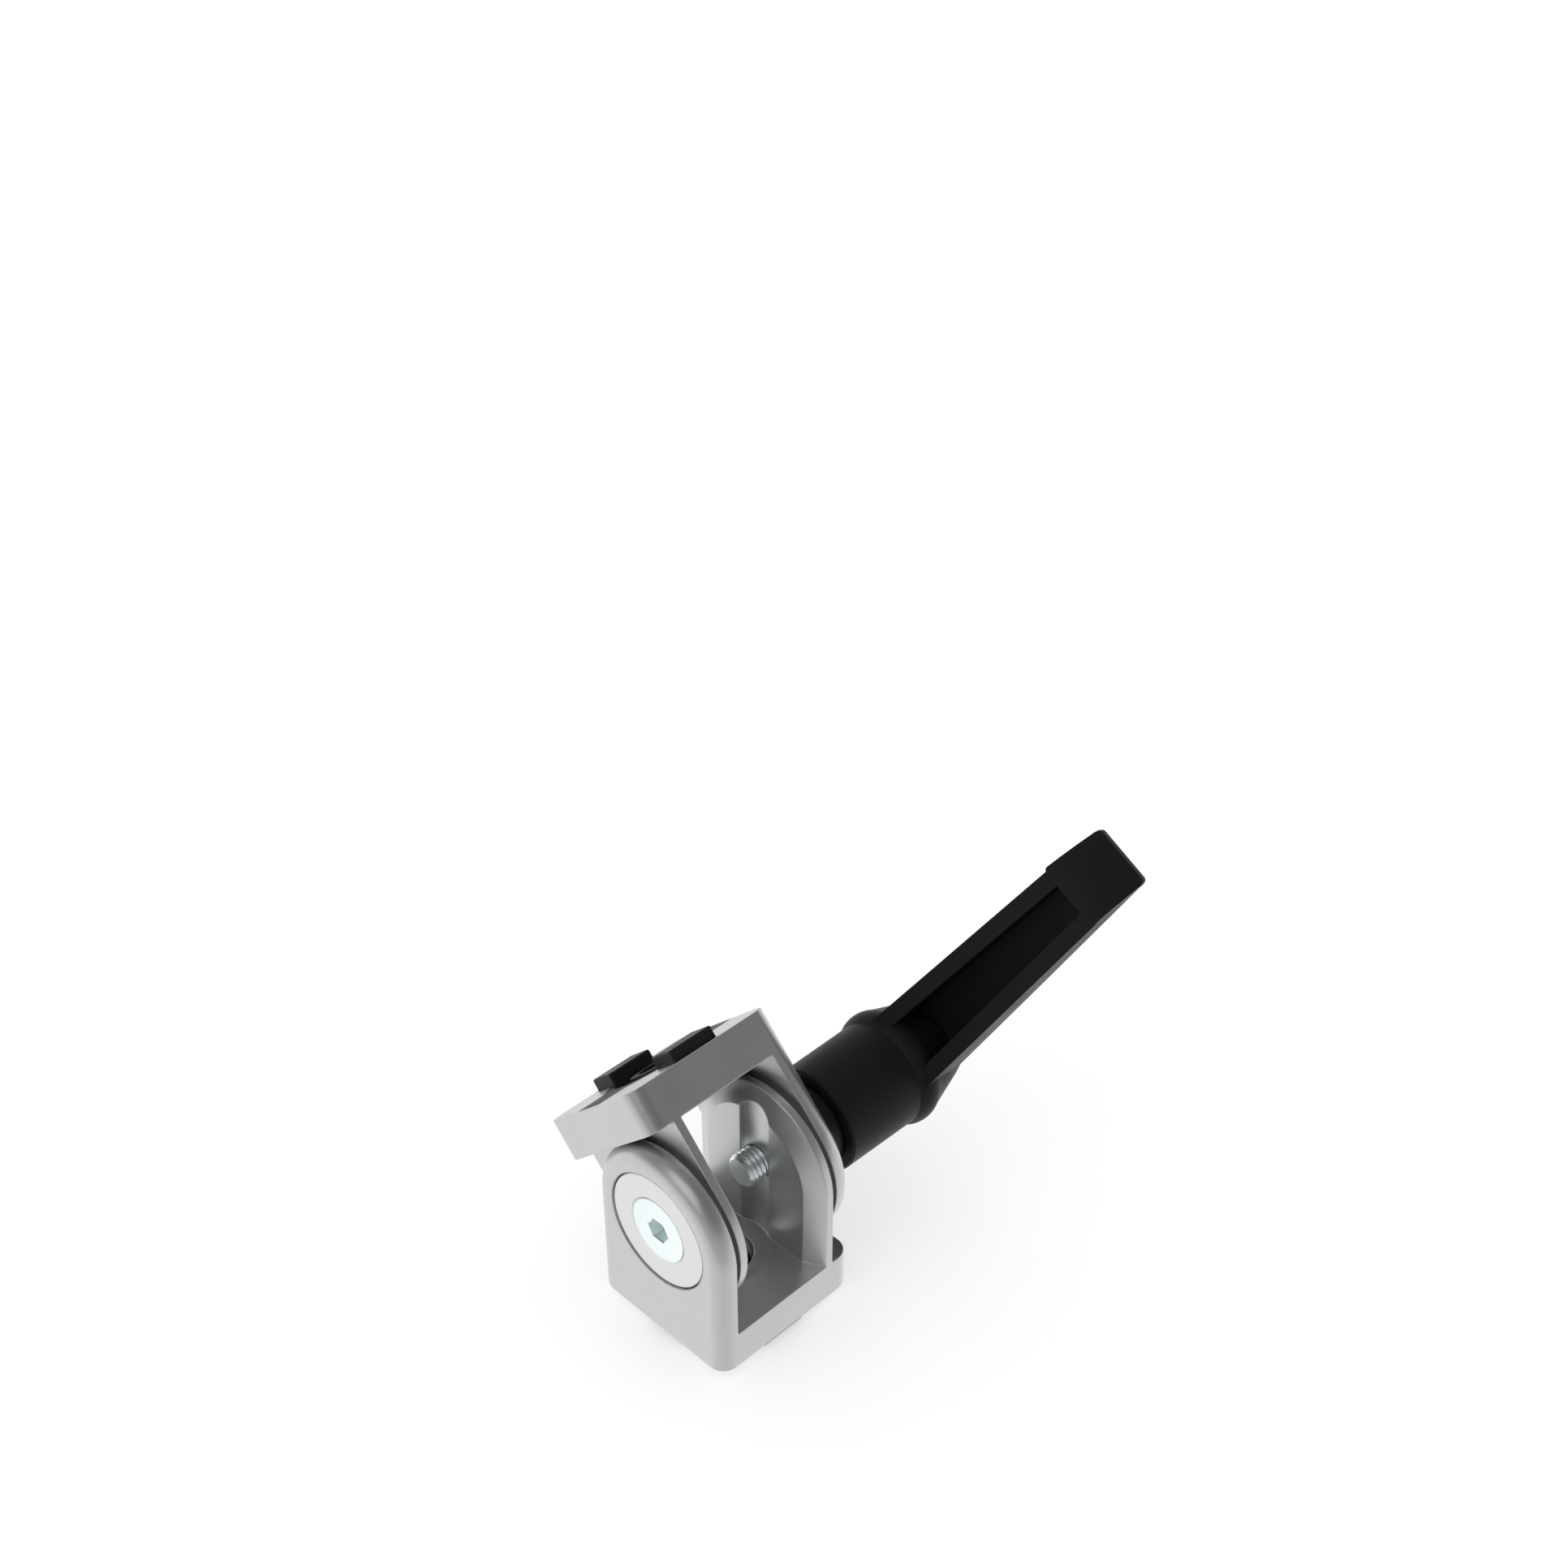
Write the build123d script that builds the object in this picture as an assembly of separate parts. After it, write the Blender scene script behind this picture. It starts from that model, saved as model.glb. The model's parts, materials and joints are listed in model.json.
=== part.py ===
from build123d import *
import math
import os

# Pivoting corner joint for slotted square profiles. Two equal fork halves hinge on one axis, and a
# clamping lever on the rear side locks the angle. Millimetres.
# Frame: origin at the centre of the lower half's mounting face, X along the pivot axis, Z up.

# Fork half
profile_side = 40.0  # width of the profile that each half closes off
corner_radius = 4.0  # the profile's rounded corners, carried up round the outer ear
base_thickness = 10.0
ear_clearance = 0.25  # the round ear heads pass this far over the other half's base
outer_ear_thickness = 4.85
inner_ear_rim = 2.0
inner_ear_thickness = 4.7
inner_ear_bevel = 5.0  # how far the raised inner face is set in from the ear's outline
driver_channel_radius = 10.5  # clearance up the ears for the base screw's head and its key
base_hole_radius = 6.4
base_seat_depth = 0.8  # the screw seat is dished from the channel down to the hole
edge_break = 0.4

# Pivot hardware, M8
thread_radius = 4.0
thread_clearance = 0.05
recess_chamfer = 0.2
friction_disc_thickness = 1.07
friction_disc_radius = 19.0
bush_flange_radius = 14.0
bush_flange_thickness = 2.4
bush_flange_round = 0.3
bush_recess_clearance = 0.3
bush_hub_radius = 8.0
running_clearance = 0.05
bush_end_play = 0.1  # the hub is this much shorter than the stack it passes through
bush_flange_recess = 0.3  # the flange lies this far below the ear's face
bush_bore_clearance = 0.2
screw_head_radius = 8.2
screw_head_recess = 0.45
screw_length = 10.0
screw_socket_width = 5.0
screw_socket_depth = 3.0

# Anti-rotation insert
insert_thickness = 2.8
insert_hole_radius = 4.5
insert_strip_width = 10.0
insert_side_wall = 0.6  # thin wall of the casting left outside the strip's ends
insert_arm_width = 12.0
insert_arm_reach = 19.0
insert_centre_radius = 12.5
insert_well_depth = 1.0
insert_well_radius = 10.5
insert_boss_radius = 6.5
insert_clearance = 0.05
nib_length = 8.5
nib_height = 2.8
nib_centre = 14.25
nib_edge_radius = 0.5

# Clamping lever, lengths along the pivot axis from the rear ear's outer face
neck_radius = 10.4
neck_length = 7.7
neck_edge = 0.5
hub_gap = 0.3  # left between the neck's shoulder and the hub's face, the teeth carry the hub
tooth_count = 24
tooth_length = 3.7
tooth_tip_radius = 10.1
tooth_root_radius = 9.1
tooth_clearance = 0.15
shank_radius = 6.5
shank_top_radius = 4.8
spring_seat = 30.0  # the hub's inner shelf that the spring pushes on
spring_seat_overlap = 0.3
spring_length = 10.0
spring_wire_radius = 0.5
spring_mean_radius = 7.4
spring_turns = 4.5
stud_tip_reach = 15.1  # how far the stud's tip stands in from the rear ear's outer face
stud_buried_length = 24.0
stud_chamfer = 0.9
washer_thickness = 1.2
washer_radius = 7.9
top_recess_clearance = 0.5
retaining_screw_radius = 2.5
retaining_screw_depth = 9.0
retaining_head_radius = 4.25
retaining_head_height = 3.2
retaining_socket_width = 3.0
retaining_socket_depth = 2.0

# Lever handle
hub_barrel_radius = 13.0
hub_barrel_end_radius = 13.2
hub_barrel_length = 22.0
hub_edge_round = 0.5
flare_radius = 14.5
flare_height = 3.6
cone_start_radius = 13.8
cone_start_height = 6.0
cone_end_radius = 10.6
cone_end_height = 16.0
hub_top_height = 18.6
hub_top_radius = 9.6
arm_origin = 26.8  # where the grip's under plane crosses the pivot axis
arm_rake = 22.0  # the grip leans away from the ear by this angle
arm_turn = 30.0  # and is turned round the pivot axis by this one
arm_half_width_root = 10.2
arm_half_width_tip = 7.4
arm_length = 84.0
arm_depth_root = 16.4
arm_depth_pad = 10.0
arm_back_sag = 0.6  # the back is slightly hollow along its length
arm_back_round = 0.9
arm_wall = 3.9
arm_floor_thickness = 2.7
channel_end_wall = 1.9
nose_length = 15.0  # over this length the back falls to the tip
tip_thickness = 2.2
pad_length = 12.6
pad_rise = 1.9
pad_tip_depth = 5.9
pad_bulge = 1.0
pad_corner_round = 1.0
pad_edge_round = 0.3

# Pose as clamped
joint_angle = 43.8  # between the upper half and straight up

# Derived places
half_side = profile_side / 2
pivot_height = base_thickness + half_side + ear_clearance
pivot_axis = Axis((0, 0, pivot_height), (1, 0, 0))
outer_ear_inside = half_side - outer_ear_thickness
inner_ear_outside = outer_ear_inside - friction_disc_thickness
inner_ear_inside = inner_ear_outside - inner_ear_thickness
bush_face = half_side - bush_flange_recess
bush_seat = bush_face - bush_flange_thickness
neck_shoulder = half_side + neck_length
hub_face = neck_shoulder + hub_gap
teeth_end = hub_face + tooth_length
shelf = half_side + spring_seat
shank_end = shelf + spring_length
top_recess_radius = washer_radius + top_recess_clearance
pad_start = arm_length - pad_length
channel_end = pad_start - channel_end_wall
back_bend = arm_length - nose_length


def along_x(face_x):
    """Plane across the pivot axis at X = face_x, its own axes being Y and Z from the pivot."""
    return Plane(origin=(face_x, 0, pivot_height), x_dir=(0, 1, 0), z_dir=(1, 0, 0))


def rod(radius, start, end):
    """Round bar on the pivot axis between two X places."""
    return extrude(along_x(start) * Circle(radius), end - start)


def turned(points):
    """Solid of revolution about the pivot axis from (x, radius) points."""
    section = make_face(Polyline(*[(x, 0, pivot_height + r) for x, r in points], close=True))
    return revolve(section, pivot_axis)


def socket(width, start, depth):
    """Hexagon key socket on the pivot axis, width across its flats."""
    hexagon = RegularPolygon(width / 2, 6, major_radius=False)
    return extrude(along_x(start) * hexagon, depth)


def mirrored_to_rear(part):
    return mirror(part, Plane.YZ)


def upper_half(part):
    """Place a lower half's piece on the upper half: end over end, then tilted to the joint angle."""
    flipped = part.rotate(Axis((0, 0, pivot_height), (0, 1, 0)), 180)
    return flipped.rotate(pivot_axis, -joint_angle)


def ear_outline(face_x, half_width, foot):
    """Ear seen along the pivot axis: straight sides to the pivot's height and a round head."""
    sides = Polyline(
        (-half_width, 0),
        (-half_width, foot - pivot_height),
        (half_width, foot - pivot_height),
        (half_width, 0),
    )
    return along_x(face_x) * make_face(sides + CenterArc((0, 0), half_width, 0, 180))


def insert_outline(clearance=0.0):
    """Cross shape of the insert: a strip across the base, two arms and an octagon centre."""
    grown = 2 * clearance
    strip = Rectangle(profile_side - 2 * insert_side_wall + grown, insert_strip_width + grown)
    arms = Rectangle(insert_arm_width + grown, 2 * insert_arm_reach + grown)
    octagon_radius = insert_centre_radius + clearance
    return strip + arms + RegularPolygon(octagon_radius, 8, major_radius=False, rotation=22.5)


def fork_half():
    """Die-cast half: base, thick outer ear flush with it and a bevelled inner ear opposite."""
    base = extrude(Rectangle(profile_side, profile_side), base_thickness)
    outer_ear = extrude(ear_outline(-half_side, half_side, 0), outer_ear_thickness)
    body = base + outer_ear
    front_edges = body.faces().sort_by(Axis.X)[0].edges().filter_by(lambda edge: edge.center().Z > 1)
    rear_edges = body.edges().filter_by(Axis.Z).group_by(Axis.X)[-1]
    body = fillet(front_edges + rear_edges, corner_radius)

    rim_inside = inner_ear_outside - inner_ear_rim
    foot = base_thickness / 2
    rim = extrude(ear_outline(rim_inside, half_side, foot), inner_ear_rim)
    bevel = loft(
        [
            ear_outline(rim_inside, half_side, foot),
            ear_outline(inner_ear_inside, half_side - inner_ear_bevel, foot),
        ],
        ruled=True,
    )
    body = body + rim + bevel

    channel = Pos(0, 0, base_thickness) * Cylinder(
        driver_channel_radius, 2 * profile_side, align=(Align.CENTER, Align.CENTER, Align.MIN)
    )
    recess_radius = bush_flange_radius + bush_recess_clearance
    recess = turned(
        [
            (-half_side - 1, 0),
            (-half_side - 1, recess_radius + 1 + recess_chamfer),
            (-half_side + recess_chamfer, recess_radius),
            (-bush_seat, recess_radius),
            (-bush_seat, 0),
        ]
    )
    bush_bore = rod(bush_hub_radius + running_clearance, -half_side, -outer_ear_inside)
    threaded_bore = rod(thread_radius + thread_clearance, 0, inner_ear_outside)
    base_hole = Cylinder(base_hole_radius, 4 * base_thickness)
    screw_seat = Pos(0, 0, base_thickness - base_seat_depth) * Cone(
        base_hole_radius,
        driver_channel_radius,
        base_seat_depth,
        align=(Align.CENTER, Align.CENTER, Align.MIN),
    )
    pocket = extrude(insert_outline(insert_clearance), insert_thickness)
    bores = [channel, recess, bush_bore, threaded_bore, base_hole, screw_seat, pocket]
    return body - bores


def anti_rotation_insert():
    """Plastic cross let in flush with the mounting face, its two nibs sit in the profile's slots."""
    plate = extrude(insert_outline(), insert_thickness)
    well = Cylinder(insert_well_radius, 2 * insert_well_depth) - Cylinder(
        insert_boss_radius, 2 * insert_well_depth
    )
    nib = Box(
        insert_arm_width, nib_length, nib_height, align=(Align.CENTER, Align.CENTER, Align.MAX)
    )
    nib = fillet(nib.edges().group_by(Axis.Z)[0] + nib.edges().filter_by(Axis.Z), nib_edge_radius)
    plate = plate - well - Cylinder(insert_hole_radius, 4 * insert_thickness)
    return plate + Pos(0, nib_centre, 0) * nib + Pos(0, -nib_centre, 0) * nib


def friction_disc():
    """Flat friction ring between the front ears."""
    ring = rod(friction_disc_radius, -outer_ear_inside, -inner_ear_outside)
    return ring - rod(bush_hub_radius + running_clearance, -half_side, 0)


def pivot_bush():
    """Flanged bush: the flange lies in the outer ear's recess, the hub is the pivot's bearing."""
    flange = rod(bush_flange_radius, -bush_face, -bush_seat)
    rim = flange.edges().filter_by(GeomType.CIRCLE).sort_by(Axis.X)[0]
    flange = fillet(rim, bush_flange_round)
    hub = rod(bush_hub_radius, -bush_seat, -inner_ear_outside - bush_end_play)
    return flange + hub - rod(thread_radius + bush_bore_clearance, -half_side, 0)


def countersink(gap):
    """90 degree cone of the screw's head, grown by a gap."""
    top = -half_side + screw_head_recess
    reach = screw_head_radius + gap
    return turned([(top - 1, 0), (top - 1, reach + 1), (top + reach, 0)])


def front_bush():
    return pivot_bush() - countersink(running_clearance)


def countersunk_screw():
    """M8 countersunk socket screw, the fixed side of the pivot."""
    top = -half_side + screw_head_recess
    tip = top + screw_length
    taper_end = top + screw_head_radius - thread_radius
    body = turned(
        [
            (top, 0),
            (top, screw_head_radius - edge_break),
            (top + edge_break, screw_head_radius - edge_break),
            (taper_end, thread_radius),
            (tip - stud_chamfer, thread_radius),
            (tip, thread_radius - stud_chamfer),
            (tip, 0),
        ]
    )
    return body - socket(screw_socket_width, top, screw_socket_depth)


def lever_stud():
    """M8 stud fixed in the lever's insert, it threads into the lower half's rear inner ear."""
    tip = half_side - stud_tip_reach
    end = half_side + stud_buried_length
    return turned(
        [
            (tip, 0),
            (tip, thread_radius - stud_chamfer),
            (tip + stud_chamfer, thread_radius),
            (end, thread_radius),
            (end, 0),
        ]
    )


def polar(radius, angle):
    return (radius * math.cos(math.radians(angle)), radius * math.sin(math.radians(angle)))


def tooth_ring(gap, start, end):
    """Straight-flanked serration round the pivot axis, grown by a gap to cut the hub's own teeth."""
    root = tooth_root_radius + gap
    tip = tooth_tip_radius + gap
    foot_angle = 0.36 * 360 / tooth_count
    crest_angle = 0.14 * 360 / tooth_count
    foot = [polar(root - 1, -foot_angle), polar(root, -foot_angle), polar(tip, -crest_angle)]
    crest = [polar(tip, crest_angle), polar(root, foot_angle), polar(root - 1, foot_angle)]
    tooth = make_face(Polyline(*foot, *crest, close=True))
    teeth = [Rot(0, 0, turn * 360 / tooth_count) * tooth for turn in range(tooth_count)]
    return extrude(along_x(start) * (Circle(root) + teeth), end - start)


def lever_insert():
    """Steel core of the lever: neck, tooth ring and a shank that the handle slides along."""
    shank_step = shelf - spring_seat_overlap
    core = turned(
        [
            (bush_face, 0),
            (bush_face, neck_radius - neck_edge),
            (bush_face + neck_edge, neck_radius),
            (neck_shoulder - neck_edge, neck_radius),
            (neck_shoulder, neck_radius - neck_edge),
            (neck_shoulder, shank_radius),
            (shank_step, shank_radius),
            (shank_step, shank_top_radius),
            (shank_end, shank_top_radius),
            (shank_end, 0),
        ]
    )
    stud_bore = rod(thread_radius, 0, half_side + stud_buried_length)
    screw_bore = rod(retaining_screw_radius, shank_end - retaining_screw_depth, shank_end)
    return core + tooth_ring(0, neck_shoulder, teeth_end) - stud_bore - screw_bore


def retaining_washer():
    """Keeps the spring on the shank."""
    washer = rod(washer_radius, shank_end, shank_end + washer_thickness)
    return washer - rod(retaining_screw_radius + bush_bore_clearance, 0, 2 * shank_end)


def retaining_screw():
    """Socket screw in the shank's end, down in the open top of the hub."""
    seat = shank_end + washer_thickness
    top = seat + retaining_head_height
    head = rod(retaining_head_radius, seat, top)
    head = fillet(head.edges().filter_by(GeomType.CIRCLE).sort_by(Axis.X)[-1], edge_break)
    stem = rod(retaining_screw_radius, shank_end - retaining_screw_depth, seat)
    key = socket(retaining_socket_width, top - retaining_socket_depth, retaining_socket_depth)
    return head + stem - key


def lever_spring():
    """Compression spring that holds the handle's teeth in mesh."""
    height = spring_length - 2 * spring_wire_radius
    path = Helix(height / spring_turns, height, spring_mean_radius)
    wire = Plane(path @ 0, z_dir=path % 0) * RegularPolygon(spring_wire_radius, 6)
    return along_x(shelf + spring_wire_radius) * sweep(wire, path, is_frenet=True)


def plan_of_grip(start, inset=0.0):
    """Tapered plan of the grip from a place along it to its tip."""
    taper = (arm_half_width_root - arm_half_width_tip) / arm_length
    near = arm_half_width_root - taper * start - inset
    far = arm_half_width_tip - inset
    corners = [(start, -near), (arm_length, -far), (arm_length, far), (start, near)]
    return make_face(Polyline(*corners, close=True))


def side_of_grip(lines):
    """Side view of the grip as a wide slab: X along the grip, Z from its under plane to its back."""
    return extrude(Plane.XZ * make_face(lines), profile_side, both=True)


def grip():
    """Channel-section arm with a solid thumb pad raised at its end, lying along X."""
    back_root = (0, arm_depth_root)
    back_end = (back_bend, arm_depth_pad)
    under = Polyline(back_root, (0, 0), (pad_start, 0), (pad_start, -pad_rise))
    pad = SagittaArc((pad_start, -pad_rise), (arm_length, pad_tip_depth), -pad_bulge)
    tip = (arm_length, pad_tip_depth + tip_thickness)
    nose = Polyline((arm_length, pad_tip_depth), tip, back_end)
    back = SagittaArc(back_end, back_root, -arm_back_sag)
    slab = side_of_grip(under + pad + nose + back)
    arm_plan = plan_of_grip(0)
    arm_plan = fillet(arm_plan.vertices().group_by(Axis.X)[-1], pad_corner_round)
    pad_plan = plan_of_grip(pad_start)
    pad_plan = fillet(pad_plan.vertices(), pad_corner_round)
    depth = arm_depth_root + pad_rise
    body = slab & (extrude(arm_plan, depth) + Pos(0, 0, -2 * pad_rise) * extrude(pad_plan, depth))
    back_face = body.faces().sort_by_distance((back_bend / 2, 0, arm_depth_root))[0]
    back_sides = back_face.edges().filter_by(lambda edge: abs(edge.center().Y) > arm_wall)
    body = fillet(back_sides, arm_back_round)
    pad_face = body.faces().sort_by_distance(((pad_start + arm_length) / 2, 0, 0))[0]
    body = fillet(pad_face.edges(), pad_edge_round)

    floor_root = (0, arm_depth_root - arm_floor_thickness)
    floor_end = (channel_end, arm_depth_pad - arm_floor_thickness)
    opening = Polyline(floor_root, (0, -arm_wall), (channel_end, -arm_wall), floor_end)
    hollow = side_of_grip(opening + SagittaArc(floor_end, floor_root, -arm_back_sag))
    return body - (hollow & extrude(plan_of_grip(0, arm_wall), profile_side, both=True))


def hub():
    """Round hub of the handle: barrel, rounded flare and a cone up to its open top."""
    at = lambda height, radius: (hub_face + height, 0, pivot_height + radius)
    flare_start = hub_barrel_length
    barrel = Polyline(
        at(hub_top_height + flare_start, 0),
        at(0, 0),
        at(0, hub_barrel_radius - hub_edge_round),
        at(hub_edge_round, hub_barrel_radius),
        at(flare_start, hub_barrel_end_radius),
    )
    flare = ThreePointArc(
        at(flare_start, hub_barrel_end_radius),
        at(flare_start + flare_height, flare_radius),
        at(flare_start + cone_start_height, cone_start_radius),
    )
    cone = Polyline(
        at(flare_start + cone_start_height, cone_start_radius),
        at(flare_start + cone_end_height, cone_end_radius),
        at(flare_start + hub_top_height, hub_top_radius),
        at(flare_start + hub_top_height, 0),
    )
    return revolve(make_face(barrel + flare + cone), pivot_axis)


def lever_handle():
    """Die-cast handle: hub with the tooth pocket and spring recess, and the raked grip."""
    rake = math.radians(arm_rake)
    under_plane = Plane(
        origin=(half_side + arm_origin, 0, pivot_height),
        x_dir=(math.sin(rake), 0, math.cos(rake)),
        z_dir=(math.cos(rake), 0, -math.sin(rake)),
    )
    top = hub_face + hub_barrel_length + hub_top_height
    body = under_plane * grip() + hub()
    body = body - tooth_ring(tooth_clearance, hub_face - 1, teeth_end)
    body = body - rod(shank_radius + running_clearance, hub_face, shelf)
    body = body - rod(top_recess_radius, shelf, top + 1)
    return body.rotate(pivot_axis, arm_turn)


pieces = {
    "lower_housing": fork_half(),
    "upper_housing": upper_half(fork_half()),
    "lower_insert": anti_rotation_insert(),
    "upper_insert": upper_half(anti_rotation_insert()),
    "front_friction_disc": friction_disc(),
    "rear_friction_disc": mirrored_to_rear(friction_disc()),
    "front_bush": front_bush(),
    "rear_bush": mirrored_to_rear(pivot_bush()),
    "countersunk_screw": countersunk_screw(),
    "lever_stud": lever_stud(),
    "lever_insert": lever_insert(),
    "lever_spring": lever_spring(),
    "retaining_washer": retaining_washer(),
    "retaining_screw": retaining_screw(),
    "lever_handle": lever_handle(),
}

os.makedirs("parts", exist_ok=True)
for name, piece in pieces.items():
    export_step(piece, f"parts/{name}.step")
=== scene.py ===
"""Pivoting joint for slotted square profiles: finishes, threads and a plain pale studio."""

import json
import math

import bpy
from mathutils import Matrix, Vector

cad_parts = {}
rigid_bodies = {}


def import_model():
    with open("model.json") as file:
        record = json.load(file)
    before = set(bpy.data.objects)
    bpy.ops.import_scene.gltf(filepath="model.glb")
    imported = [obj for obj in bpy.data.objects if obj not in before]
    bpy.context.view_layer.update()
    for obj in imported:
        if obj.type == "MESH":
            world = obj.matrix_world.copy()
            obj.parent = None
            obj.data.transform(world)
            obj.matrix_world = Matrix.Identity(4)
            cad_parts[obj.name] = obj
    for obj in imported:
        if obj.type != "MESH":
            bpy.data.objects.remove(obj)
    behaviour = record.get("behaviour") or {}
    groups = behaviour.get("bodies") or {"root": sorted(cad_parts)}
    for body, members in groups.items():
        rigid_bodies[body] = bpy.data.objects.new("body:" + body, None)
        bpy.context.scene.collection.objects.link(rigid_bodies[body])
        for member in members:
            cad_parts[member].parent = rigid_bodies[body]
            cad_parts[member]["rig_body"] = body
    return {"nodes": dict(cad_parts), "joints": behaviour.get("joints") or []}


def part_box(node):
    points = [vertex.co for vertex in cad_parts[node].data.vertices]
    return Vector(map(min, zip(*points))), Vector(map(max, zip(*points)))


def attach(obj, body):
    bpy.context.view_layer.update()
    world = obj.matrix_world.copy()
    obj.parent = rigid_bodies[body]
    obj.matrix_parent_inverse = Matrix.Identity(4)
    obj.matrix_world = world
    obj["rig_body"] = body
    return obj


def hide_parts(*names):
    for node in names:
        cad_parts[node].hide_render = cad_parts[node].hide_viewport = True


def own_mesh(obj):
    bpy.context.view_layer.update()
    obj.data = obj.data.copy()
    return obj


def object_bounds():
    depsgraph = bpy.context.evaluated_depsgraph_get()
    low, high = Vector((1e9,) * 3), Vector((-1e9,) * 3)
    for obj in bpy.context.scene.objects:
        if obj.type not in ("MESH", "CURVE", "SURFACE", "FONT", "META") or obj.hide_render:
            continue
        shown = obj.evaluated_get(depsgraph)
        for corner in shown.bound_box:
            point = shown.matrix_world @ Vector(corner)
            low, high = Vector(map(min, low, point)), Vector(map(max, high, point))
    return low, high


bl_info = {
    "name": "Profile pivot joint",
    "version": (1, 0, 0),
    "blender": (4, 5, 0),
    "location": "View3D > Sidebar > Pivot joint",
    "description": "Finishes a pivoting profile joint with a clamping lever and sets up its studio",
    "category": "Object",
}

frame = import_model()
CAD_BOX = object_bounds()


def joint(name):
    """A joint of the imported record."""
    return next(row for row in frame["joints"] if row["name"] == name)


MM = 0.001
WELD = 0.0005 * MM  # points nearer than this are one point
CUT_REACH = WELD / 10  # a cutting plane takes points nearer than this as lying on it
PIVOT_HEIGHT = joint("pivot")["pos_m"][2]

FLAT_WITHIN = math.radians(0.2)  # faces that meet at less than this are one flat face
CASTING_SHARP = 25  # degrees, past which an edge of the casting is broken
SMOOTH_SHANK = 40  # degrees, up to which the faces of a thread or a wire shade as one
SMOOTH_BODY = 30  # and those of a screw's head or the handle

THREAD_RADIUS = 4.0 * MM
THREAD_STEPS = 64  # faces round one turn of the thread
THREAD_PROFILE_CUTS = 7
THREAD_LEAD = 1.01  # the thread begins this many pitches before the rod
THREAD_SPARE_TURNS = 3
# Points of the profile within a reach of the crest, in pitches, rise by a share of the depth.
THREAD_RISE = ((0.4, 0.38), (0.3, 0.33), (0.2, 0.21), (0.05, 0.08))
BLANK_SPARE = 0.1 * MM  # the blank that trims a thread is larger by this
SCREW_NECK = 0.5 * MM  # plain stretch under the countersunk head

SPRING_TURNS = 4.5
SPRING_STEPS = 144
WIRE_SIDES = 12

# The grip is made along X, from its root, with the under plane of its rails at height 0.
# Pairs are the values at the thumb pad's start and at its tip.
GRIP_FOOT = 46.8 * MM  # where the under plane crosses the pivot axis
GRIP_LEAN = math.radians(22)
GRIP_TURN = math.radians(30)
GRIP_LENGTH = 84.05 * MM
CHANNEL_CUT = (69.0 * MM, 70.7 * MM)  # the channel's end wall goes back by this cut
CHANNEL_HALF_WIDTH = 3.9 * MM
CHANNEL_DEPTH = 7.1 * MM
PAD_START = 72.5 * MM
PAD_STEPS = 12
PAD_HEIGHT = (4.3 * MM, -5.8 * MM)
PAD_CROWN = 1.6 * MM
PAD_HALF_WIDTH = (8.0 * MM, 7.55 * MM)
PAD_FOOT = (-1.5 * MM, -7.0 * MM)
PAD_CORNER = 1.1 * MM
PAD_CORNER_STEPS = 6
PAD_EDGE = 0.3 * MM
PAD_EDGE_STEPS = 3
PAD_SHARP = 30  # degrees, past which an edge of the pad is rounded

MARKS_SCALE = 90.0  # broad marks to a metre
COLOUR_DRIFT = (0.35, 0.65)  # marks between these take the colour from darker to lighter
ROUGHNESS_DRIFT = (0.3, 0.7)  # and between these the roughness from lowest to highest

FLOOR_SIZE = 8.0
FLOOR_GAP = 0.1 * MM
FLOOR_COLOUR = 0.6
FLOOR_GLOW = 0.5  # with the lit colour it makes white
WORLD_LEVEL = 0.82  # what the world gives as plain light
# Level by height over the horizon, and by how far a direction faces the dim side.
CEILING_STOPS = ((0.0, 1.0), (0.06, 0.82), (0.2, 0.42), (0.42, 0.29), (1.0, 0.29))
DIM_SIDE = (-0.5, -0.78, 0.38)
DIM_SIDE_STOPS = ((0.35, 1.0), (0.48, 0.84), (0.69, 0.8), (0.77, 0.55), (0.85, 0.48), (1.0, 0.5))
LAMP_DISTANCE = 1.2
LAMPS = (  # name, direction from the pivot, side, radiance
    ("key lamp", (-0.72, -0.1, 0.68), 1.0, 0.7),
    ("fill lamp", (0.3, 0.8, 0.6), 0.9, 0.3),
)
CAMERA_PLACE = (-0.23618, -0.25485, 0.37930)
CAMERA_TURN = (55.1257, 0.0804, -45.0882)  # degrees
CAMERA_SENSOR = 36.0
CAMERA_LENS = 50.6387
CAMERA_NEAR = 0.01


# ---------------------------------------------------------------- sizes and colours


def length(name, description, default):
    return bpy.props.FloatProperty(
        name=name, description=description, default=default, subtype="DISTANCE", unit="LENGTH"
    )


def colour(name, description, default):
    return bpy.props.FloatVectorProperty(
        name=name, description=description, default=default, size=3, subtype="COLOR", min=0, max=1
    )


class PivotJointSizes(bpy.types.PropertyGroup):
    """Sizes of what the solids leave plain."""

    thread_pitch: length("Thread pitch", "Rise of one turn of the M8 thread", 1.25 * MM)
    thread_depth: length("Thread depth", "Crest to root of the M8 thread", 0.42 * MM)
    tip_chamfer: length("Tip chamfer", "Chamfer at the tip of a thread", 0.7 * MM)
    socket_chamfer: length("Socket chamfer", "Chamfer round the mouth of the key socket", 0.35 * MM)
    spring_wire: length("Spring wire", "Diameter of the lever spring's wire", 1.0 * MM)
    edge_round: length("Edge round", "Broken edge of the castings", 0.25 * MM)


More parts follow.
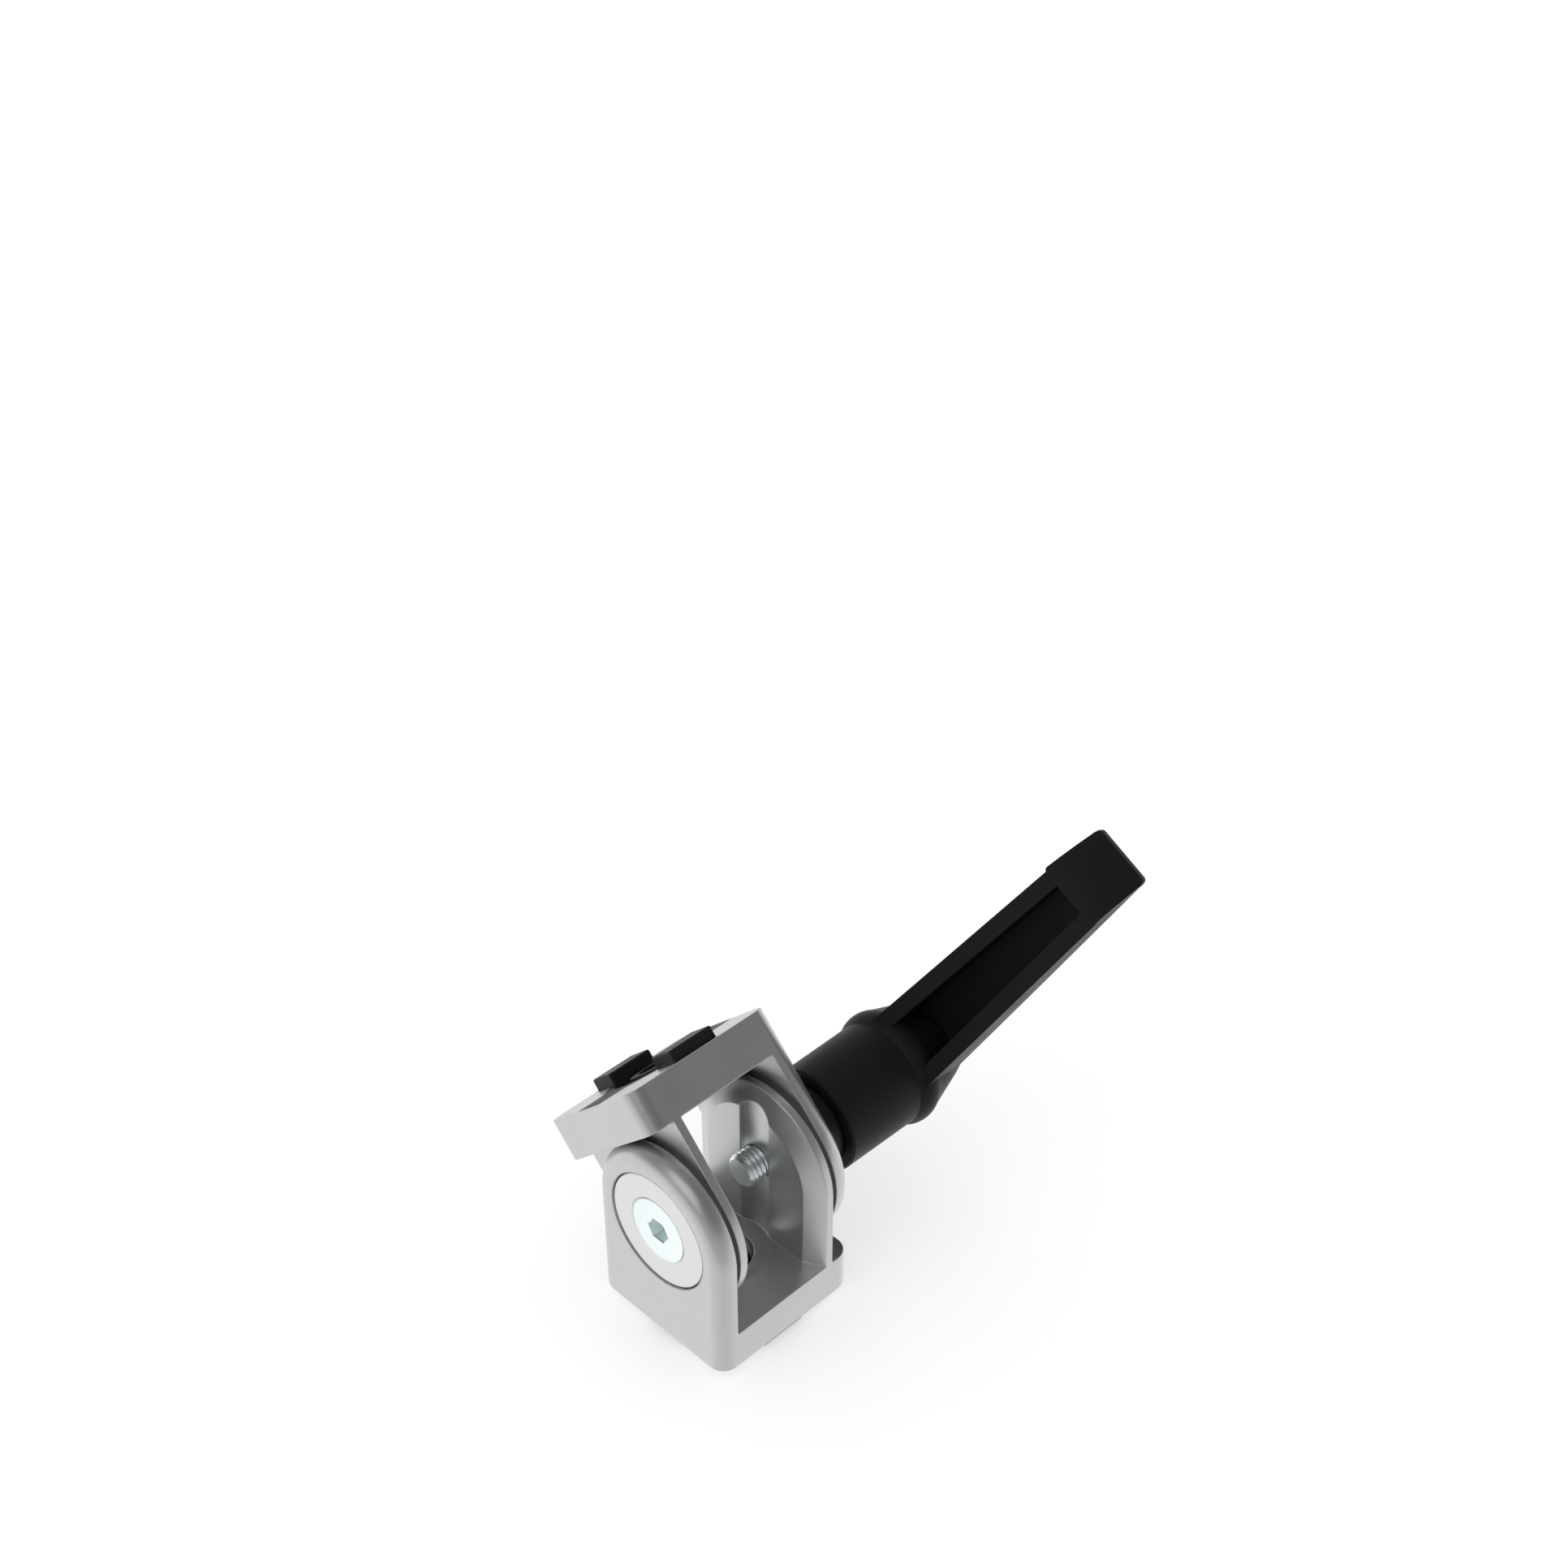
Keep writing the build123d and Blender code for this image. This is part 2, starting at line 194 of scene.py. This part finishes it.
class PivotJointColours(bpy.types.PropertyGroup):
    """Base colours of the finishes."""

    casting: colour("Casting", "Silver coat of the two fork halves", (0.62, 0.62, 0.62))
    black_coat: colour("Black coat", "Powder coat of the lever handle", (0.0095, 0.0095, 0.0095))
    black_plastic: colour("Black plastic", "Inserts in the mounting faces", (0.009, 0.009, 0.009))
    bush: colour("Bush", "Flanged bushes", (0.95, 0.95, 0.95))
    zinc: colour("Zinc", "Plated screw and stud", (0.9, 0.99, 1.0))
    friction: colour("Friction disc", "Discs between the ears", (0.085, 0.085, 0.1))
    black_steel: colour("Black steel", "Toothed core of the lever", (0.006, 0.006, 0.006))
    spring: colour("Spring", "Bright wire of the lever spring", (0.5, 0.5, 0.5))


def sizes():
    return bpy.context.scene.pivot_joint_sizes


def colours():
    return bpy.context.scene.pivot_joint_colours


# ---------------------------------------------------------------- finishes


def add_node(tree, kind, settings=None, **inputs):
    """A shader node with its own settings, and its sockets given as values or as other sockets."""
    node = tree.nodes.new(kind)
    for name, value in (settings or {}).items():
        setattr(node, name, value)
    for name, value in inputs.items():
        socket = node.inputs[name.replace("_", " ")]
        if isinstance(value, bpy.types.NodeSocket):
            tree.links.new(value, socket)
        else:
            socket.default_value = value
    return node


def grain_group():
    """Fine grain and broad handling marks over the surface, both from 0 to 1."""
    existing = bpy.data.node_groups.get("Surface grain")
    if existing:
        return existing
    group = bpy.data.node_groups.new("Surface grain", "ShaderNodeTree")
    group.interface.new_socket("Vector", in_out="INPUT", socket_type="NodeSocketVector")
    group.interface.new_socket("Grain size", in_out="INPUT", socket_type="NodeSocketFloat")
    group.interface.new_socket("Grain", in_out="OUTPUT", socket_type="NodeSocketFloat")
    group.interface.new_socket("Marks", in_out="OUTPUT", socket_type="NodeSocketFloat")
    entry = group.nodes.new("NodeGroupInput")
    leave = group.nodes.new("NodeGroupOutput")
    scale = add_node(group, "ShaderNodeMath", {"operation": "DIVIDE"})
    scale.inputs[0].default_value = 1.0
    group.links.new(entry.outputs["Grain size"], scale.inputs[1])
    grain = add_node(group, "ShaderNodeTexNoise", Detail=3.0, Roughness=0.6)
    group.links.new(entry.outputs["Vector"], grain.inputs["Vector"])
    group.links.new(scale.outputs[0], grain.inputs["Scale"])
    marks = add_node(group, "ShaderNodeTexNoise", Scale=MARKS_SCALE, Detail=4.0, Roughness=0.55)
    group.links.new(entry.outputs["Vector"], marks.inputs["Vector"])
    group.links.new(grain.outputs["Fac"], leave.inputs["Grain"])
    group.links.new(marks.outputs["Fac"], leave.inputs["Marks"])
    return group


def finish(name, base, metallic, rough, grain_size, grain_depth, tint=0.06, shine=0.5):
    """Solid finish: colour and roughness drift with the marks, and the grain stands as a bump."""
    material = bpy.data.materials.new(name)
    material.use_nodes = True
    tree = material.node_tree
    shader = tree.nodes["Principled BSDF"]
    place = add_node(tree, "ShaderNodeTexCoord")
    surface = add_node(tree, "ShaderNodeGroup", {"node_tree": grain_group()})
    tree.links.new(place.outputs["Object"], surface.inputs["Vector"])
    surface.inputs["Grain size"].default_value = grain_size
    lighter = [min(1.0, channel * (1 + tint)) for channel in base]
    darker = [channel * (1 - tint) for channel in base]
    drift = add_node(tree, "ShaderNodeValToRGB", Fac=surface.outputs["Marks"])
    for element, position, shade in zip(drift.color_ramp.elements, COLOUR_DRIFT, (darker, lighter)):
        element.position = position
        element.color = (*shade, 1)
    tree.links.new(drift.outputs["Color"], shader.inputs["Base Color"])
    roughness = add_node(tree, "ShaderNodeMapRange", Value=surface.outputs["Marks"])
    limits = (*ROUGHNESS_DRIFT, *rough)
    for name, limit in zip(("From Min", "From Max", "To Min", "To Max"), limits):
        roughness.inputs[name].default_value = limit
    tree.links.new(roughness.outputs["Result"], shader.inputs["Roughness"])
    bump = add_node(tree, "ShaderNodeBump", Height=surface.outputs["Grain"], Strength=1.0)
    bump.inputs["Distance"].default_value = grain_depth
    tree.links.new(bump.outputs["Normal"], shader.inputs["Normal"])
    shader.inputs["Metallic"].default_value = metallic
    shader.inputs["Specular IOR Level"].default_value = shine
    return material


def give(piece, material):
    """The whole piece takes one material."""
    piece.data.materials.clear()
    piece.data.materials.append(material)


# ---------------------------------------------------------------- modelling helpers


def deselect_all():
    if bpy.context.object and bpy.context.object.mode != "OBJECT":
        bpy.ops.object.mode_set(mode="OBJECT")
    bpy.ops.object.select_all(action="DESELECT")


def make_active(piece):
    deselect_all()
    piece.select_set(True)
    bpy.context.view_layer.objects.active = piece


def apply_modifier(piece, kind, **settings):
    make_active(piece)
    modifier = piece.modifiers.new(kind.title(), kind)
    for name, value in settings.items():
        setattr(modifier, name, value)
    bpy.ops.object.modifier_apply(modifier=modifier.name)


def apply_place(piece):
    make_active(piece)
    bpy.ops.object.transform_apply(location=True, rotation=True, scale=True)


def edit_all(piece):
    """Edit mode, with the whole piece selected."""
    make_active(piece)
    bpy.ops.object.mode_set(mode="EDIT")
    bpy.ops.mesh.select_all(action="SELECT")


def leave_edit_mode():
    bpy.ops.object.mode_set(mode="OBJECT")


def pick(piece, kind, wanted):
    """Edit mode, with only the VERT, EDGE or FACE elements selected that pass the test."""
    make_active(piece)
    bpy.ops.object.mode_set(mode="EDIT")
    bpy.ops.mesh.select_mode(type=kind)
    bpy.ops.mesh.select_all(action="DESELECT")
    leave_edit_mode()
    elements = {"VERT": piece.data.vertices, "EDGE": piece.data.edges, "FACE": piece.data.polygons}
    for element in elements[kind]:
        element.select = wanted(element)
    bpy.ops.object.mode_set(mode="EDIT")


def cut_off(piece, place, outward):
    """The piece ends in a flat face at a plane, and what lies beyond it goes."""
    edit_all(piece)
    bpy.ops.mesh.bisect(
        plane_co=place, plane_no=outward, use_fill=True, clear_outer=True, threshold=CUT_REACH
    )
    leave_edit_mode()


def clean_mesh(piece):
    """Doubled points become one, and every face points outwards."""
    edit_all(piece)
    bpy.ops.mesh.remove_doubles(threshold=WELD)
    bpy.ops.mesh.normals_make_consistent(inside=False)
    leave_edit_mode()


def mend_slivers(piece):
    """Slivers that a cut or a join leaves are closed up."""
    edit_all(piece)
    bpy.ops.mesh.remove_doubles(threshold=WELD)
    bpy.ops.mesh.dissolve_degenerate(threshold=WELD)
    bpy.ops.mesh.select_all(action="SELECT")
    bpy.ops.mesh.fill_holes(sides=4)
    leave_edit_mode()


def shade_smooth(piece, up_to):
    """Faces that meet at no more than an angle in degrees are shaded as one."""
    make_active(piece)
    bpy.ops.object.shade_smooth_by_angle(angle=math.radians(up_to))


def combine(piece, tool, operation):
    """Cuts or joins the piece with a second one, which is used up."""
    apply_modifier(piece, "BOOLEAN", object=tool, operation=operation, solver="EXACT")
    deselect_all()
    tool.select_set(True)
    bpy.ops.object.delete()


def lift_to_pivot(piece):
    """From the X axis, where it was made, the piece goes up to the pivot axis."""
    piece.location.z = PIVOT_HEIGHT
    apply_place(piece)


def copy_of(node, name):
    """A welded copy of a CAD node, its flat areas joined to single faces."""
    piece = frame["nodes"][node].copy()
    piece.data = piece.data.copy()
    piece.name = piece.data.name = name
    piece.parent = None
    bpy.context.scene.collection.objects.link(piece)
    make_active(piece)
    bpy.ops.mesh.customdata_custom_splitnormals_clear()
    edit_all(piece)
    bpy.ops.mesh.remove_doubles(threshold=WELD)
    bpy.ops.mesh.dissolve_limited(angle_limit=FLAT_WITHIN)
    leave_edit_mode()
    return piece


def break_edges(piece, width, sharper_than):
    """Edges sharper than an angle are rounded off, and the shading follows the flat faces."""
    apply_modifier(
        piece,
        "BEVEL",
        width=width,
        segments=2,
        limit_method="ANGLE",
        angle_limit=math.radians(sharper_than),
        use_clamp_overlap=False,
        miter_outer="MITER_ARC",
    )
    make_active(piece)
    bpy.ops.object.shade_smooth()
    apply_modifier(piece, "WEIGHTED_NORMAL", keep_sharp=True, weight=100)


def place_on(piece, node):
    """The piece stands for a CAD node and moves with that node's body."""
    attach(piece, frame["nodes"][node]["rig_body"])
    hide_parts(node)


# ---------------------------------------------------------------- pieces


class PIVOT_OT_fork_halves(bpy.types.Operator):
    """Silver die-cast fork halves"""

    bl_idname = "pivot_joint.fork_halves"
    bl_label = "Fork halves"

    def execute(self, context):
        coat = finish(
            "Silver die casting",
            colours().casting,
            metallic=0.94,
            rough=(0.32, 0.38),
            grain_size=0.5 * MM,
            grain_depth=0.004 * MM,
            tint=0.02,
        )
        for node, name in (("lower_housing", "lower_fork"), ("upper_housing", "upper_fork")):
            fork = copy_of(node, name)
            break_edges(fork, sizes().edge_round, sharper_than=CASTING_SHARP)
            give(fork, coat)
            place_on(fork, node)
        return {"FINISHED"}


class PIVOT_OT_inserts(bpy.types.Operator):
    """Black plastic inserts with the nibs that stop each profile turning"""

    bl_idname = "pivot_joint.inserts"
    bl_label = "Inserts"

    def execute(self, context):
        plastic = finish(
            "Moulded black plastic",
            colours().black_plastic,
            metallic=0.0,
            rough=(0.42, 0.52),
            grain_size=0.3 * MM,
            grain_depth=0.01 * MM,
            shine=0.25,
        )
        for node in ("lower_insert", "upper_insert"):
            give(frame["nodes"][node], plastic)
        return {"FINISHED"}


class PIVOT_OT_pivot_rings(bpy.types.Operator):
    """White bushes and dark friction discs on the pivot"""

    bl_idname = "pivot_joint.pivot_rings"
    bl_label = "Bushes and discs"

    def execute(self, context):
        white = finish(
            "White bush",
            colours().bush,
            metallic=0.0,
            rough=(0.38, 0.48),
            grain_size=0.4 * MM,
            grain_depth=0.004 * MM,
            tint=0.01,
        )
        dark = finish(
            "Friction disc",
            colours().friction,
            metallic=0.0,
            rough=(0.45, 0.6),
            grain_size=0.2 * MM,
            grain_depth=0.01 * MM,
        )
        for end in ("front", "rear"):
            give(frame["nodes"][f"{end}_bush"], white)
            give(frame["nodes"][f"{end}_friction_disc"], dark)
        return {"FINISHED"}


def zinc_finish():
    """Finish of the plated steel, made once for all its pieces."""
    existing = bpy.data.materials.get("Zinc plate")
    if existing:
        return existing
    return finish(
        "Zinc plate",
        colours().zinc,
        metallic=1.0,
        rough=(0.2, 0.28),
        grain_size=0.25 * MM,
        grain_depth=0.002 * MM,
        tint=0.03,
    )


def threaded_rod(name, start, end, radius):
    """A screw thread round the X axis, chamfered at its start."""
    pitch = sizes().thread_pitch
    depth = sizes().thread_depth
    root = radius - depth
    crest = start - THREAD_LEAD * pitch
    bpy.ops.mesh.primitive_plane_add(size=pitch, location=(crest, root + pitch / 2, 0))
    rod = bpy.context.object
    rod.name = rod.data.name = name
    apply_place(rod)
    pick(rod, "VERT", lambda point: point.co.y > root + pitch / 2)
    bpy.ops.mesh.delete(type="VERT")
    bpy.ops.mesh.select_all(action="SELECT")
    bpy.ops.mesh.subdivide(number_cuts=THREAD_PROFILE_CUTS)
    for reach, share in THREAD_RISE:
        pick(rod, "VERT", lambda point: abs(point.co.x - crest) < reach * pitch)
        bpy.ops.transform.translate(value=(0, share * depth, 0))
    leave_edit_mode()
    apply_modifier(
        rod,
        "SCREW",
        axis="X",
        angle=math.tau,
        screw_offset=pitch,
        iterations=math.ceil((end - start) / pitch) + THREAD_SPARE_TURNS,
        steps=THREAD_STEPS,
        render_steps=THREAD_STEPS,
        use_merge_vertices=False,
    )
    clean_mesh(rod)
    cut_off(rod, (start, 0, 0), (-1, 0, 0))
    cut_off(rod, (end, 0, 0), (1, 0, 0))
    clean_mesh(rod)
    blank_length = end - start + BLANK_SPARE
    bpy.ops.mesh.primitive_cylinder_add(
        vertices=THREAD_STEPS,
        radius=radius + BLANK_SPARE,
        depth=blank_length,
        location=(start + blank_length / 2, 0, 0),
        rotation=(0, math.radians(90), 0),
    )
    blank = bpy.context.object
    apply_place(blank)
    pick(blank, "FACE", lambda face: face.normal.x < -0.9)
    bpy.ops.mesh.bevel(offset=sizes().tip_chamfer + BLANK_SPARE, segments=1)
    leave_edit_mode()
    combine(rod, blank, "INTERSECT")
    shade_smooth(rod, SMOOTH_SHANK)
    return rod


def stud():
    """The lever's stud with its thread."""
    low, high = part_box("lever_stud")
    piece = threaded_rod("threaded_stud", low[0], high[0], (high[1] - low[1]) / 2)
    lift_to_pivot(piece)
    return piece


def screw():
    """The countersunk screw: its own head, chamfered round the socket, on a threaded shank."""
    low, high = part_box("countersunk_screw")
    piece = copy_of("countersunk_screw", "screw")
    head_radius = (high[1] - low[1]) / 2
    head_end = low[0] + head_radius - THREAD_RADIUS
    cut_off(piece, (head_end + SCREW_NECK, 0, 0), (1, 0, 0))

    def on_socket_mouth(edge):
        points = [piece.data.vertices[end].co for end in edge.vertices]
        return all(
            abs(point.x - low[0]) < WELD
            and math.hypot(point.y, point.z - PIVOT_HEIGHT) < THREAD_RADIUS
            for point in points
        )

    pick(piece, "EDGE", on_socket_mouth)
    bpy.ops.mesh.bevel(offset=sizes().socket_chamfer, segments=1)
    leave_edit_mode()
    shank = threaded_rod("shank", -high[0], -head_end, THREAD_RADIUS)
    shank.rotation_euler.z = math.pi
    apply_place(shank)
    lift_to_pivot(shank)
    combine(piece, shank, "UNION")
    mend_slivers(piece)
    shade_smooth(piece, SMOOTH_BODY)
    return piece


class PIVOT_OT_fasteners(bpy.types.Operator):
    """Zinc-plated countersunk screw, threaded stud, washer and retaining screw"""

    bl_idname = "pivot_joint.fasteners"
    bl_label = "Screw and stud"

    def execute(self, context):
        for node in ("retaining_washer", "retaining_screw"):
            give(frame["nodes"][node], zinc_finish())
        for piece, node in ((stud(), "lever_stud"), (screw(), "countersunk_screw")):
            give(piece, zinc_finish())
            place_on(piece, node)
        return {"FINISHED"}


def coil_spring():
    """Compression spring of round wire."""
    low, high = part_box("lever_spring")
    wire_radius = sizes().spring_wire / 2
    mean_radius = (high[1] - low[1]) / 2 - wire_radius
    bpy.ops.mesh.primitive_circle_add(
        vertices=WIRE_SIDES, radius=wire_radius, location=(low[0] + wire_radius, mean_radius, 0)
    )
    spring = bpy.context.object
    spring.name = spring.data.name = "coil_spring"
    apply_place(spring)
    apply_modifier(
        spring,
        "SCREW",
        axis="X",
        angle=SPRING_TURNS * math.tau,
        screw_offset=high[0] - low[0] - 2 * wire_radius,
        steps=SPRING_STEPS,
        render_steps=SPRING_STEPS,
    )
    edit_all(spring)
    bpy.ops.mesh.fill_holes(sides=0)
    leave_edit_mode()
    clean_mesh(spring)
    lift_to_pivot(spring)
    shade_smooth(spring, SMOOTH_SHANK)
    return spring


def between(ends, share):
    """The value at a share of the way from one end to the other."""
    return ends[0] + (ends[1] - ends[0]) * share


def lean_with_grip(piece):
    """A piece made along X takes the grip's lean and turn."""
    piece.rotation_euler.y = GRIP_LEAN - math.radians(90)
    piece.location.x = GRIP_FOOT
    apply_place(piece)
    piece.rotation_euler.x = GRIP_TURN
    lift_to_pivot(piece)


def thumb_pad():
    """Crowned pad at the grip's end."""
    size = GRIP_LENGTH - PAD_START
    middle = PAD_START + size / 2
    bpy.ops.mesh.primitive_cube_add(size=size, location=(middle, 0, 0))
    pad = bpy.context.object
    pad.name = pad.data.name = "thumb_pad"
    apply_place(pad)
    stations = [PAD_START + size * step / PAD_STEPS for step in range(PAD_STEPS + 1)]
    for along in stations[1:-1]:
        edit_all(pad)
        bpy.ops.mesh.bisect(plane_co=(along, 0, 0), plane_no=(1, 0, 0), threshold=CUT_REACH)
    for along in stations:
        share = (along - PAD_START) / size
        half_width = between(PAD_HALF_WIDTH, share)
        crown = 4 * PAD_CROWN * share * (1 - share)
        top, foot = between(PAD_HEIGHT, share) + crown, between(PAD_FOOT, share)
        for up, height in ((1, top), (-1, foot)):
            for out in (1, -1):
                corner = Vector((along, out * size / 2, up * size / 2))
                pick(pad, "VERT", lambda point: (point.co - corner).length < WELD)
                move = (0, out * (half_width - size / 2), height - up * size / 2)
                bpy.ops.transform.translate(value=move)

    def at_corner(edge):
        one, other = (pad.data.vertices[end].co for end in edge.vertices)
        upright = abs(one.x - other.x) < WELD and abs(one.y - other.y) < WELD
        return upright and abs(abs(one.x - middle) - size / 2) < WELD

    pick(pad, "EDGE", at_corner)
    bpy.ops.mesh.bevel(offset=PAD_CORNER, segments=PAD_CORNER_STEPS)
    leave_edit_mode()
    apply_modifier(
        pad,
        "BEVEL",
        width=PAD_EDGE,
        segments=PAD_EDGE_STEPS,
        limit_method="ANGLE",
        angle_limit=math.radians(PAD_SHARP),
    )
    lean_with_grip(pad)
    return pad


def channel_end_cutter():
    """Block that takes the channel on towards the pad."""
    start, end = CHANNEL_CUT
    bpy.ops.mesh.primitive_cube_add(
        size=1,
        location=((start + end) / 2, 0, 0),
        scale=(end - start, 2 * CHANNEL_HALF_WIDTH, 2 * CHANNEL_DEPTH),
    )
    cutter = bpy.context.object
    apply_place(cutter)
    lean_with_grip(cutter)
    return cutter


def handle():
    """The die-cast handle with its crowned thumb pad and the channel that runs on to it."""
    piece = copy_of("lever_handle", "handle")
    combine(piece, channel_end_cutter(), "DIFFERENCE")
    combine(piece, thumb_pad(), "UNION")
    mend_slivers(piece)
    shade_smooth(piece, SMOOTH_BODY)
    return piece


class PIVOT_OT_lever(bpy.types.Operator):
    """Black lever: toothed steel core, spring and die-cast handle"""

    bl_idname = "pivot_joint.lever"
    bl_label = "Clamping lever"

    def execute(self, context):
        steel = finish(
            "Black oxide steel",
            colours().black_steel,
            metallic=0.0,
            rough=(0.35, 0.45),
            grain_size=0.3 * MM,
            grain_depth=0.004 * MM,
            shine=0.25,
        )
        coat = finish(
            "Black powder coat",
            colours().black_coat,
            metallic=0.0,
            rough=(0.42, 0.5),
            grain_size=0.35 * MM,
            grain_depth=0.008 * MM,
            shine=0.14,
        )
        wire = finish(
            "Bright spring wire",
            colours().spring,
            metallic=1.0,
            rough=(0.25, 0.3),
            grain_size=0.2 * MM,
            grain_depth=0.002 * MM,
        )
        give(frame["nodes"]["lever_insert"], steel)
        spring = coil_spring()
        give(spring, wire)
        place_on(spring, "lever_spring")
        grip = handle()
        give(grip, coat)
        place_on(grip, "lever_handle")
        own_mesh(spring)
        return {"FINISHED"}


# ---------------------------------------------------------------- stage


def shown_directly(tree, path):
    """1 for what the camera sees, also through glass, and 0 for other rays."""
    larger = add_node(tree, "ShaderNodeMath", {"operation": "MAXIMUM"})
    tree.links.new(path.outputs["Is Camera Ray"], larger.inputs[0])
    tree.links.new(path.outputs["Is Transmission Ray"], larger.inputs[1])
    return larger.outputs[0]


def choose(tree, flag, when_off, when_on):
    """One of two values or sockets, by a flag of 0 or 1."""
    mix = add_node(tree, "ShaderNodeMix", {"data_type": "FLOAT"})
    tree.links.new(flag, mix.inputs["Factor"])
    for name, value in (("A", when_off), ("B", when_on)):
        if isinstance(value, bpy.types.NodeSocket):
            tree.links.new(value, mix.inputs[name])
        else:
            mix.inputs[name].default_value = value
    return mix.outputs["Result"]


def steps(tree, value, stops):
    """A grey level that follows (position, level) stops."""
    ramp = add_node(tree, "ShaderNodeValToRGB", Fac=value)
    elements = ramp.color_ramp.elements
    while len(elements) < len(stops):
        elements.new(0.5)
    for element, (position, level) in zip(elements, stops):
        element.position = position
        element.color = (level, level, level, 1)
    return ramp.outputs["Color"]


def pale_floor(level):
    """Pale floor that shows white to the camera and keeps the object's shadow."""
    bpy.ops.mesh.primitive_plane_add(size=FLOOR_SIZE, location=(0, 0, level))
    floor = bpy.context.object
    floor.name = "floor"
    floor.visible_glossy = False
    pale = bpy.data.materials.new("Pale floor")
    pale.use_nodes = True
    pale.cycles.emission_sampling = "NONE"
    tree = pale.node_tree
    shader = tree.nodes["Principled BSDF"]
    shader.inputs["Base Color"].default_value = (FLOOR_COLOUR, FLOOR_COLOUR, FLOOR_COLOUR, 1)
    shader.inputs["Roughness"].default_value = 0.9
    shader.inputs["Specular IOR Level"].default_value = 0.0
    shader.inputs["Emission Color"].default_value = (1, 1, 1, 1)
    path = add_node(tree, "ShaderNodeLightPath")
    glow = choose(tree, shown_directly(tree, path), 0.0, FLOOR_GLOW)
    tree.links.new(glow, shader.inputs["Emission Strength"])
    floor.data.materials.append(pale)


def studio_world():
    """White to look at, plain to be lit by, and a room with a dim ceiling to be mirrored."""
    world = bpy.data.worlds.new("Studio")
    bpy.context.scene.world = world
    world.use_nodes = True
    world.cycles.sampling_method = "NONE"
    tree = world.node_tree
    direction = add_node(tree, "ShaderNodeTexCoord")
    split = add_node(tree, "ShaderNodeSeparateXYZ")
    tree.links.new(direction.outputs["Generated"], split.inputs[0])
    ceiling = steps(tree, split.outputs["Z"], CEILING_STOPS)
    facing = add_node(tree, "ShaderNodeVectorMath", {"operation": "DOT_PRODUCT"})
    tree.links.new(direction.outputs["Generated"], facing.inputs[0])
    facing.inputs[1].default_value = Vector(DIM_SIDE).normalized()
    share = add_node(tree, "ShaderNodeMapRange", Value=facing.outputs["Value"])
    share.inputs["From Min"].default_value = -1.0
    side = steps(tree, share.outputs["Result"], DIM_SIDE_STOPS)
    room = add_node(tree, "ShaderNodeMath", {"operation": "MULTIPLY"})
    tree.links.new(ceiling, room.inputs[0])
    tree.links.new(side, room.inputs[1])
    path = add_node(tree, "ShaderNodeLightPath")
    level = choose(tree, path.outputs["Is Glossy Ray"], WORLD_LEVEL, room.outputs[0])
    level = choose(tree, shown_directly(tree, path), level, 1.0)
    background = tree.nodes["Background"]
    background.inputs["Color"].default_value = (1, 1, 1, 1)
    tree.links.new(level, background.inputs["Strength"])


def lamp(name, direction, size, radiance):
    """Square soft lamp that looks at the pivot."""
    target = Vector((0, 0, PIVOT_HEIGHT))
    place = target + Vector(direction).normalized() * LAMP_DISTANCE
    bpy.ops.object.light_add(type="AREA", location=place)
    light = bpy.context.object
    light.name = name
    light.data.size = size
    light.data.energy = math.pi * size**2 * radiance
    light.rotation_euler = (target - place).to_track_quat("-Z", "Y").to_euler()


class PIVOT_OT_stage(bpy.types.Operator):
    """Pale floor, soft lamps, bright surroundings and the camera"""

    bl_idname = "pivot_joint.stage"
    bl_label = "Stage"

    def execute(self, context):
        deselect_all()
        pale_floor(CAD_BOX[0][2] - FLOOR_GAP)
        studio_world()
        for name, direction, size, radiance in LAMPS:
            lamp(name, direction, size, radiance)
        turn = [math.radians(angle) for angle in CAMERA_TURN]
        bpy.ops.object.camera_add(location=CAMERA_PLACE, rotation=turn)
        camera = context.object
        camera.name = "camera"
        camera.data.sensor_width = CAMERA_SENSOR
        camera.data.lens = CAMERA_LENS
        camera.data.clip_start = CAMERA_NEAR
        context.scene.camera = camera
        context.scene.view_settings.view_transform = "Standard"
        return {"FINISHED"}


# ---------------------------------------------------------------- panel and registration


PIECES = (
    PIVOT_OT_fork_halves,
    PIVOT_OT_inserts,
    PIVOT_OT_pivot_rings,
    PIVOT_OT_fasteners,
    PIVOT_OT_lever,
    PIVOT_OT_stage,
)


class PIVOT_PT_joint(bpy.types.Panel):
    """Lists the pieces of the joint and their sizes and colours"""

    bl_label = "Pivot joint"
    bl_idname = "PIVOT_PT_joint"
    bl_space_type = "VIEW_3D"
    bl_region_type = "UI"
    bl_category = "Pivot joint"

    def draw(self, context):
        for group in (sizes(), colours()):
            for name in group.__annotations__:
                self.layout.prop(group, name)
        for piece in PIECES:
            self.layout.operator(piece.bl_idname)


CLASSES = (PivotJointSizes, PivotJointColours, *PIECES, PIVOT_PT_joint)


def register():
    for item in CLASSES:
        bpy.utils.register_class(item)
    bpy.types.Scene.pivot_joint_sizes = bpy.props.PointerProperty(type=PivotJointSizes)
    bpy.types.Scene.pivot_joint_colours = bpy.props.PointerProperty(type=PivotJointColours)


def unregister():
    del bpy.types.Scene.pivot_joint_colours
    del bpy.types.Scene.pivot_joint_sizes
    for item in reversed(CLASSES):
        bpy.utils.unregister_class(item)


def main():
    register()
    for piece in PIECES:
        family, action = piece.bl_idname.split(".")
        getattr(getattr(bpy.ops, family), action)()


if __name__ == "__main__":
    main()
